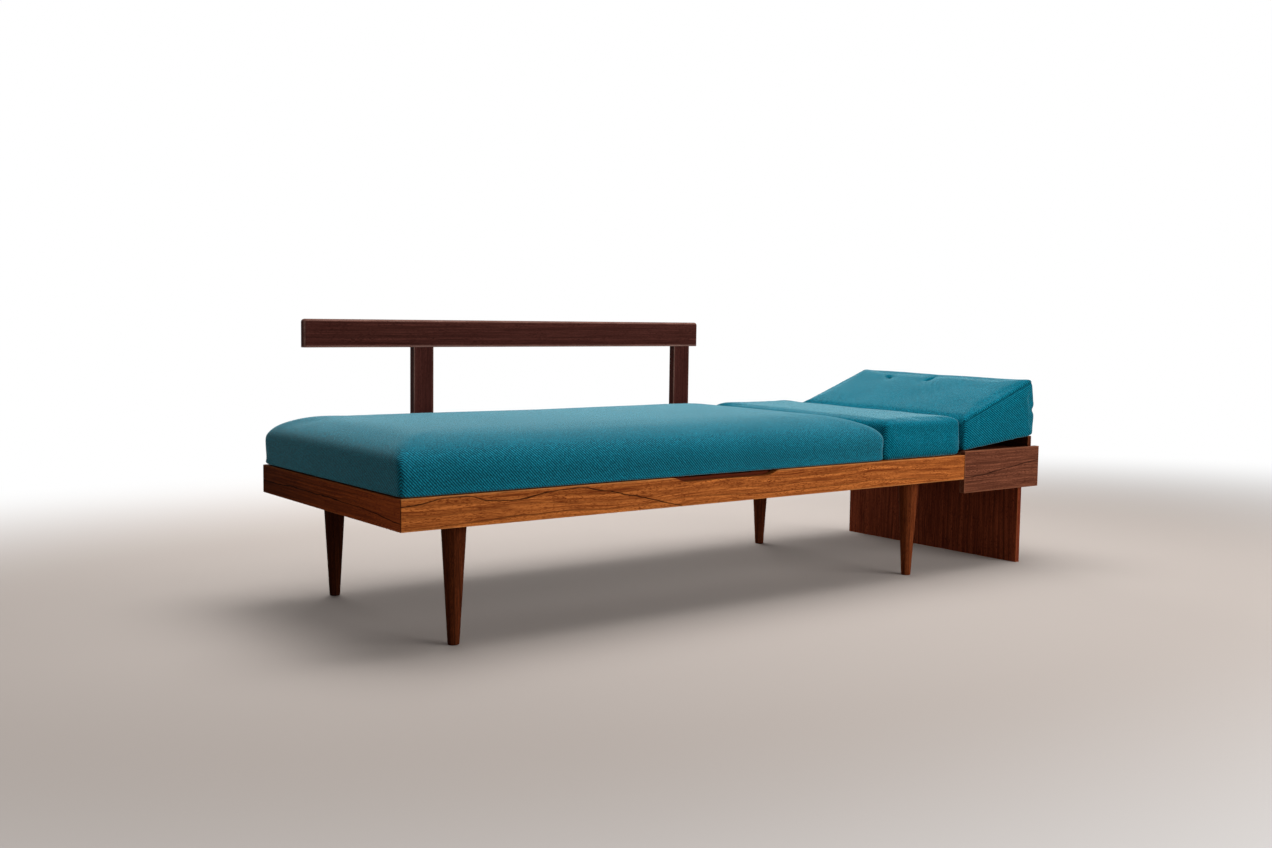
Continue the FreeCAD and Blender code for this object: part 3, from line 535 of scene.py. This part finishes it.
def unevenness(piece, size, amount, seed, resting_height):
    """Soft dips and swells over the cover, none where it rests. Noise that isn't seeded differs each run."""
    noise.seed_set(seed)
    points = points_of(piece)
    lifts = ramp(points[:, 2], resting_height, resting_height + 30 * mm)
    for number, point in enumerate(points):
        wave = noise.noise_vector(Vector(point) / size)
        points[number] = point + np.array(wave) * amount * lifts[number]
    move_points(piece, points)


def fit_to(piece, low, high):
    """Scales the cover into the box of the solid that it stands for."""
    points = points_of(piece)
    now_low, now_high = points.min(axis=0), points.max(axis=0)
    points = np.array(low) + (points - now_low) / (now_high - now_low) * (np.array(high) - np.array(low))
    move_points(piece, points)


def fill_sides(piece, low, high, fullness, tuck):
    """Pushes the upright sides out at half their height, and tucks the bottom edge in or, below 0, fills
    it."""
    points = points_of(piece)
    height = points[:, 2] - low.z
    push = fullness * np.sin(np.pi * ramp(height, 0.0, high.z - low.z))
    push -= tuck * np.exp(-(height / (9 * mm)) ** 2)
    middle, half = (low + high) / 2, (high - low) / 2
    points[:, 0] += (points[:, 0] - middle.x) / half.x * push
    points[:, 1] += (points[:, 1] - middle.y) / half.y * push
    move_points(piece, points)


def lay_cloth(piece, low, high, rim, drop):
    """Gives the cover its cloth map in metres. The top runs on over a rim and down all four sides by drop,
    and the sides meet at the corners, where they are sewn."""
    mesh = piece.data
    centres = np.zeros(len(mesh.polygons) * 3)
    mesh.polygons.foreach_get("center", centres)
    counts = np.zeros(len(mesh.polygons), int)
    mesh.polygons.foreach_get("loop_total", counts)
    corner_point = np.zeros(len(mesh.loops), int)
    mesh.loops.foreach_get("vertex_index", corner_point)
    off_middle = np.repeat(centres.reshape(-1, 3), counts, axis=0) - np.array((low + high) / 2)
    half = np.array(high - low) / 2
    at_end = half[0] - np.abs(off_middle[:, 0]) < half[1] - np.abs(off_middle[:, 1])
    fall = np.maximum(drop, 0.0)[corner_point]
    points = points_of(piece)[corner_point]
    end_map = np.clip(points[:, 0], low.x + rim, high.x - rim) + np.sign(off_middle[:, 0]) * fall
    side_map = np.clip(points[:, 1], low.y + rim, high.y - rim) + np.sign(off_middle[:, 1]) * fall
    cloth_map = np.stack([np.where(at_end, end_map, points[:, 0]),
                          np.where(at_end, points[:, 1], side_map)], axis=1)
    mesh.uv_layers.new(name="cloth").data.foreach_set("uv", cloth_map.ravel())


upright = Vector((0, 0, 1))
worn_wool = wool("teal_wool_twill_worn", nap=0.43, nap_width=0.42)
mattress_low, mattress_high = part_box("mattress_cover")
swell = 6 * mm
held_strip = 4 * mm
mattress_block = mattress_low + Vector((swell, swell, 0)), mattress_high - Vector((swell, swell, 2 * swell))
mattress = foam_block("mattress", *mattress_block)
round_edges(mattress, upright, width=12 * mm)
apply_modifier(mattress, "REMESH", mode="VOXEL", voxel_size=10 * mm)
roll_top(mattress, *mattress_block, left=(76 * mm, 120 * mm), right=(66 * mm, 240 * mm),
         sides=(49 * mm, 100 * mm))
apply_modifier(mattress, "SMOOTH", factor=0.5, iterations=2)
stuff(mattress, points_of(mattress)[:, 2] < mattress_low.z + held_strip, cap=5 * mm)
apply_modifier(mattress, "SUBSURF", levels=1, render_levels=1)
fit_to(mattress, mattress_low, mattress_high)
fill_sides(mattress, mattress_low, mattress_high, fullness=4 * mm, tuck=-4 * mm)
unevenness(mattress, size=300 * mm, amount=1.5 * mm, seed=3, resting_height=mattress_low.z)
lay_cloth(mattress, mattress_low, mattress_high, rim=22 * mm,
          drop=mattress_high.z - 16 * mm - points_of(mattress)[:, 2])
bpy.ops.object.shade_smooth()
mattress.data.materials.append(worn_wool)
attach(mattress, "mattress")
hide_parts("mattress_cover", "mattress_core")


# Middle cushion: a short flat cushion of the same wool between the mattress and the head wedge.
# It fills the frame where the table is drawn, and is firmer at its edges than the mattress.
teal_wool = wool("teal_wool_twill", nap=0.58, nap_width=0.26)
middle_low, middle_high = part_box("middle_cushion_cover")
middle_lean = 7 * mm
middle_block = middle_low + Vector((swell, swell, 0)), middle_high - Vector((swell, swell, swell))
middle_cushion = foam_block("middle_cushion", *middle_block)
round_edges(middle_cushion, upright, width=14 * mm)
apply_modifier(middle_cushion, "REMESH", mode="VOXEL", voxel_size=6 * mm)
roll_top(middle_cushion, *middle_block, left=(92 * mm, 40 * mm), right=(92 * mm, 40 * mm),
         sides=(92 * mm, 30 * mm))
apply_modifier(middle_cushion, "SMOOTH", factor=0.5, iterations=1)
stuff(middle_cushion, points_of(middle_cushion)[:, 2] < middle_low.z + held_strip, cap=4 * mm)
apply_modifier(middle_cushion, "SUBSURF", levels=1, render_levels=1)
fit_to(middle_cushion, middle_low, middle_high)
fill_sides(middle_cushion, middle_low, middle_high, fullness=1.5 * mm, tuck=3 * mm)
unevenness(middle_cushion, size=150 * mm, amount=1.2 * mm, seed=11, resting_height=middle_low.z)
middle_points = points_of(middle_cushion)
middle_points[:, 2] += (middle_lean * ramp(middle_points[:, 1], middle_low.y, middle_high.y)
                        * ramp(middle_points[:, 2], middle_low.z, middle_high.z))
move_points(middle_cushion, middle_points)
lay_cloth(middle_cushion, middle_low, middle_high, rim=10 * mm,
          drop=middle_high.z - 6 * mm - middle_points[:, 2])
bpy.ops.object.shade_smooth()
middle_cushion.data.materials.append(teal_wool)
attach(middle_cushion, "middle_cushion")
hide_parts("middle_cushion_cover", "middle_cushion_core")


# Head wedge: a firm foam wedge in the same wool, loose on the table, tilted by the table's raised
# end board. Its slope is sewn to the side panels with a plain seam, and two pinches draw it in
# near the ridge.
def sew(piece, seam_way, depth, fold_shade):
    """Sinks the cover along a seam and marks how near each point is to it, for a dark seam line, or to a
    fold, for painted shade in the fold. Seam_way is its distance from the seam."""
    normals = np.zeros(len(piece.data.vertices) * 3)
    piece.data.vertices.foreach_get("normal", normals)
    valley = depth * np.exp(-(seam_way / (5 * mm)) ** 2)
    move_points(piece, points_of(piece) - normals.reshape(-1, 3) * valley[:, None])
    nearness = 0.75 * np.maximum(1 - ramp(np.abs(seam_way), 0.5 * mm, 3.5 * mm), fold_shade)
    piece.data.attributes.new("seam_and_fold_shade", "FLOAT", "POINT").data.foreach_set("value", nearness)


crosswise = Vector((0, 1, 0))
lengthwise = Vector((1, 0, 0))
wedge_low, wedge_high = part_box("head_wedge_cover")
lip_low, lip_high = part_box("table_end_board")
apron_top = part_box("table_front_apron")[1].z
wedge_gap = 0.4 * mm
thin_end = 84 * mm
ridge_height = 517 * mm
ridge_lean = 8 * mm
back_lift = 6 * mm
skin = 4 * mm
seat_slope = (lip_high.z - apron_top) / (lip_low.x - wedge_low.x)


def wedge_seat(x):
    """Height of the wedge's underside, from the table's aprons up to its end board."""
    return apron_top + wedge_gap + seat_slope * (x - wedge_low.x)


wedge_block = wedge_low + Vector((skin, skin, 0)), wedge_high - Vector((skin, skin, 0))
head_wedge = foam_block("head_wedge", *wedge_block)
for corner in head_wedge.data.vertices:
    at_top = corner.co.z > (wedge_low.z + wedge_high.z) / 2
    if not at_top:
        corner.co.z = wedge_seat(corner.co.x)
    elif corner.co.x > (wedge_low.x + wedge_high.x) / 2:
        corner.co.x -= ridge_lean
    else:
        corner.co.z = wedge_seat(corner.co.x) + thin_end
slope_foot = wedge_seat(wedge_low.x + skin) + thin_end
slope_rise = (ridge_height - slope_foot) / (wedge_high.x - wedge_low.x - 2 * skin - ridge_lean)
round_edges(head_wedge, upright, width=8 * mm, where=lambda spot: spot.x < wedge_high.x - 50 * mm)
round_edges(head_wedge, crosswise, width=12 * mm)
round_edges(head_wedge, lengthwise, width=5 * mm)
# The even mesh that the cloth needs is drawn back onto the rounded block, which irons out its steps
bpy.ops.object.duplicate()
wedge_pattern = bpy.context.active_object
bpy.ops.object.select_all(action="DESELECT")
apply_modifier(head_wedge, "REMESH", mode="VOXEL", voxel_size=5.5 * mm)
apply_modifier(head_wedge, "SHRINKWRAP", target=wedge_pattern)
apply_modifier(head_wedge, "SMOOTH", factor=0.5, iterations=2)
bpy.data.objects.remove(wedge_pattern)
wedge_points = points_of(head_wedge)
stuff(head_wedge, wedge_points[:, 2] < wedge_seat(wedge_points[:, 0]) + held_strip, cap=3 * mm)
apply_modifier(head_wedge, "SUBSURF", levels=1, render_levels=1)
fit_to(head_wedge, wedge_low, wedge_high)
wedge_points = points_of(head_wedge)
wedge_rise = wedge_points[:, 2] - wedge_seat(wedge_points[:, 0])
ridge = wedge_points[:, 2].argmax()
wedge_points[:, 2] += wedge_rise * (ridge_height - wedge_points[ridge, 2]) / wedge_rise[ridge]
lift = back_lift * ramp(wedge_points[:, 1], wedge_low.y, wedge_high.y)
wedge_points[:, 2] += lift * ramp(wedge_rise, 0.0, thin_end)
# The upright end swells between its foot and the ridge, and one level crease is pressed into it
end_foot, end_swell = 360 * mm, 10 * mm
crease_height, crease_depth = 432 * mm, 8 * mm
swelling = end_swell * np.sin(np.pi * ramp(wedge_points[:, 2], end_foot, ridge_height))
crease = crease_depth * np.exp(-((wedge_points[:, 2] - crease_height) / (9 * mm)) ** 2)
at_right = ramp(wedge_points[:, 0], wedge_high.x - 30 * mm, wedge_high.x - 12 * mm)
wedge_points[:, 0] += (swelling - crease) * at_right
# Each pinch is a short fold in a wider dip, with its place and the way that the fold runs
pinches = (922 * mm, -27 * mm, 0.0), (917 * mm, 130 * mm, math.radians(56))
pinch_depth, dip_depth = 8 * mm, 3 * mm
fold_shade = np.zeros(len(wedge_points))
on_top = wedge_points[:, 2] > wedge_seat(wedge_points[:, 0]) + 60 * mm
for pinch_x, pinch_y, pinch_turn in pinches:
    off_x, off_y = wedge_points[:, 0] - pinch_x, wedge_points[:, 1] - pinch_y
    along_pinch = off_x * math.cos(pinch_turn) + off_y * math.sin(pinch_turn)
    across_pinch = off_y * math.cos(pinch_turn) - off_x * math.sin(pinch_turn)
    pinch = np.exp(-(along_pinch / (15 * mm)) ** 2 - (across_pinch / (7 * mm)) ** 2)
    dip = np.exp(-(along_pinch / (40 * mm)) ** 2 - (across_pinch / (28 * mm)) ** 2)
    wedge_points[:, 2] -= (pinch_depth * pinch + dip_depth * dip) * on_top
    # Painted shade: the pinch folds are darkened through the seam mark, like shade in their creases
    fold_shade = np.maximum(fold_shade, 0.7 * pinch * on_top)
move_points(head_wedge, wedge_points)
unevenness(head_wedge, size=130 * mm, amount=1.5 * mm, seed=23, resting_height=wedge_low.z)
wedge_points = points_of(head_wedge)
slope = slope_foot + slope_rise * (wedge_points[:, 0] - wedge_low.x - skin) + lift
below_slope = slope - wedge_points[:, 2]
inside_panel = np.minimum(wedge_points[:, 1] - wedge_low.y, wedge_high.y - wedge_points[:, 1])
near_panel = inside_panel < 14 * mm
off_seam = np.where(near_panel, inside_panel - np.maximum(below_slope, 0.0), inside_panel)
sew(head_wedge, off_seam, depth=1.5 * mm, fold_shade=fold_shade)
lay_cloth(head_wedge, wedge_low, wedge_high, rim=5 * mm, drop=below_slope - 4 * mm)
bpy.ops.object.shade_smooth()
head_wedge.data.materials.append(teal_wool)
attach(head_wedge, "head_wedge")
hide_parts("head_wedge_cover", "head_wedge_core")


# Studio: a plain pale floor that runs out to white, soft light from the front right, from above and
# from the white wall behind, a room that is dimmer to the left, and a camera low at the front left,
# where the photograph was taken.
bpy.ops.object.select_all(action="DESELECT")
bpy.ops.mesh.primitive_plane_add(size=60.0, location=(0, 0, 0))
floor = bpy.context.active_object
floor.name = "studio_floor"
white_from, white_to = 1.1, 2.8
floor_paint, floor_tree = new_material("pale_floor")
floor_place = add_node(floor_tree, "ShaderNodeTexCoord", {}, {})
floor_round = add_node(floor_tree, "ShaderNodeMapping", {}, {
    "Vector": floor_place.outputs["Object"], "Scale": (0.62, 1.0, 1.0)})
floor_way = add_node(floor_tree, "ShaderNodeVectorMath", {"operation": "LENGTH"}, {
    0: floor_round.outputs[0]})
floor_fade = add_node(floor_tree, "ShaderNodeMapRange", {"interpolation_type": "SMOOTHSTEP"}, {
    "Value": floor_way.outputs["Value"], "From Min": white_from, "From Max": white_to})
floor_ray = add_node(floor_tree, "ShaderNodeLightPath", {}, {})
floor_shiny = add_node(floor_tree, "ShaderNodeMath", {"operation": "MAXIMUM"}, {
    0: floor_ray.outputs["Is Camera Ray"], 1: floor_ray.outputs["Is Glossy Ray"]})
floor_seen = add_node(floor_tree, "ShaderNodeMath", {"operation": "MAXIMUM"}, {
    0: floor_shiny.outputs[0], 1: floor_ray.outputs["Is Transmission Ray"]})
floor_white = add_node(floor_tree, "ShaderNodeMath", {"operation": "MULTIPLY"}, {
    0: floor_fade.outputs[0], 1: floor_seen.outputs[0]})
floor_matt = add_node(floor_tree, "ShaderNodeBsdfPrincipled", {}, {
    "Base Color": linear("#a59c96"), "Roughness": 0.9, "Specular IOR Level": 0.1})
floor_glow = add_node(floor_tree, "ShaderNodeEmission", {}, {"Color": (1, 1, 1, 1), "Strength": 1.0})
floor_mix = add_node(floor_tree, "ShaderNodeMixShader", {}, {
    0: floor_white.outputs[0], 1: floor_matt.outputs[0], 2: floor_glow.outputs[0]})
add_node(floor_tree, "ShaderNodeOutputMaterial", {}, {"Surface": floor_mix.outputs[0]})
floor.data.materials.append(floor_paint)

room = bpy.data.worlds.new("white_room")
room.use_nodes = True
room.node_tree.nodes.clear()
room_ray = add_node(room.node_tree, "ShaderNodeLightPath", {}, {})
room_shiny = add_node(room.node_tree, "ShaderNodeMath", {"operation": "MAXIMUM"}, {
    0: room_ray.outputs["Is Camera Ray"], 1: room_ray.outputs["Is Glossy Ray"]})
room_seen = add_node(room.node_tree, "ShaderNodeMath", {"operation": "MAXIMUM"}, {
    0: room_shiny.outputs[0], 1: room_ray.outputs["Is Transmission Ray"]})
room_way = add_node(room.node_tree, "ShaderNodeTexCoord", {}, {})
room_side = add_node(room.node_tree, "ShaderNodeSeparateXYZ", {}, {"Vector": room_way.outputs["Generated"]})
room_dim = add_node(room.node_tree, "ShaderNodeMapRange", {}, {
    "Value": room_side.outputs["X"], "From Min": -1.0, "From Max": 1.0, "To Min": 0.14, "To Max": 0.48})
room_level = add_node(room.node_tree, "ShaderNodeMapRange", {}, {
    "Value": room_seen.outputs[0], "To Min": room_dim.outputs[0], "To Max": 1.0})
room_light = add_node(room.node_tree, "ShaderNodeBackground", {}, {
    "Color": (1, 1, 1, 1), "Strength": room_level.outputs[0]})
add_node(room.node_tree, "ShaderNodeOutputWorld", {}, {"Surface": room_light.outputs[0]})
scene.world = room


def soft_box(name, place, aim, size, power):
    """A rectangular lamp that lights the object and isn't seen itself."""
    bpy.ops.object.light_add(type="AREA", location=place)
    lamp = bpy.context.active_object
    lamp.name = name
    lamp.data.shape = "RECTANGLE"
    lamp.data.size, lamp.data.size_y = size
    lamp.data.energy = power
    lamp.visible_camera = False
    lamp.visible_glossy = False
    lamp.rotation_euler = (Vector(aim) - Vector(place)).to_track_quat("-Z", "Y").to_euler()


soft_box("front_light", (1.8, -3.6, 1.4), (0, 0, 0.3), (3.0, 2.2), 118)
soft_box("back_light", (0.7, 3.4, 1.1), (0.2, 0, 0.1), (3.4, 1.6), 116)
soft_box("top_light", (0.3, 0.2, 3.2), (0, 0, 0.3), (3.2, 2.0), 132)

camera_data = bpy.data.cameras.new("camera")
camera = bpy.data.objects.new("camera", camera_data)
scene.collection.objects.link(camera)
camera_data.sensor_width = 36.0
camera_data.lens = 37.784
camera_place = (-2.1801, -2.6990, 0.6815)
yaw, pitch, roll = math.radians(36.868), math.radians(4.615), math.radians(0.767)
heading, upturn = Matrix.Rotation(-yaw, 4, "Z"), Matrix.Rotation(math.pi / 2 - pitch, 4, "X")
camera.matrix_world = Matrix.Translation(camera_place) @ heading @ upturn @ Matrix.Rotation(roll, 4, "Z")
scene.camera = camera
scene.view_settings.view_transform = "Standard"
